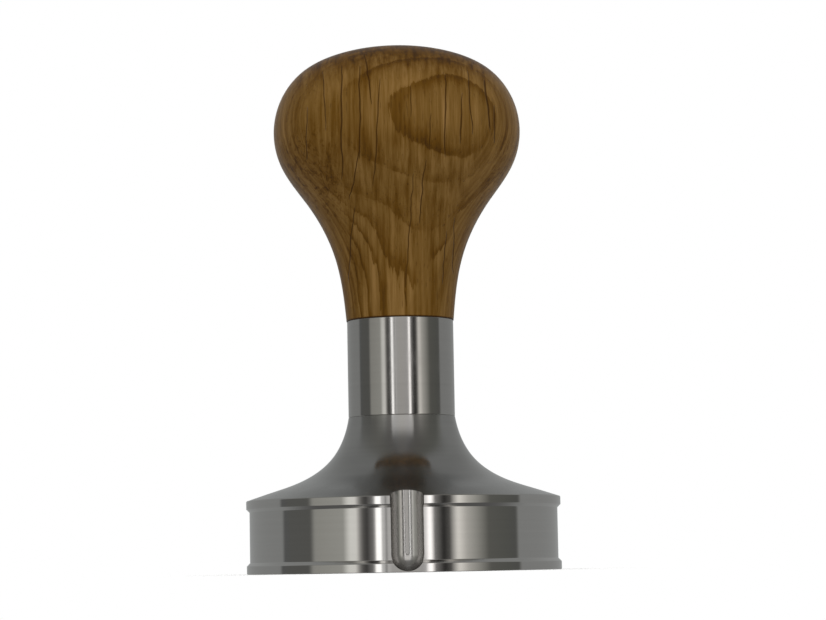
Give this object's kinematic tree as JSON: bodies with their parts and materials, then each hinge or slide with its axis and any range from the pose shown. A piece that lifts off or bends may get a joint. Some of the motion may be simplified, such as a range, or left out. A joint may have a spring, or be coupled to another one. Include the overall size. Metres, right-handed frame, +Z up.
{
  "type": "espresso tamper",
  "caption": "Hand espresso tamper: turned oak knob, plain steel collar and a solid steel base with a recessed rim band, an air-relief groove and a flat tamping face.",
  "frame": {"origin": "centre of the base's flat tamping face, which the tamper stands on", "axes": "+Z up the handle's axis from the tamping face to the knob; -Y towards the air-relief groove in the rim"},
  "size_m": [0.0584, 0.0584, 0.0985],
  "materials": {
    "base_steel": "turned stainless steel: polished rim, satin cone and flat face",
    "stud_steel": "plain zinc-plated threaded stud",
    "collar_steel": "turned and polished stainless steel",
    "oak": "oiled and waxed oak, satin, grain along the handle",
    "insert_brass": "machined brass"
  },
  "bodies": {
    "base": {"base": "base_steel", "stud": "stud_steel"},
    "collar": {"collar": "collar_steel"},
    "handle": {"oak_handle": "oak", "handle_insert": "insert_brass"}
  },
  "joints": [
    {"name": "collar_lift", "type": "slide", "parent": "base", "child": "collar", "axis": [0, 0, 1], "range_m": [0, 0.01375]},
    {"name": "handle_turn", "type": "hinge", "parent": "collar", "child": "handle", "pos_m": [0, 0, 0.0468], "axis": [0, 0, 1], "range_deg": [0, 3960]}
  ],
  "couplings": [
    {"joint": "collar_lift", "follows": "handle_turn", "m_per_rad": 0.00019894}
  ]
}
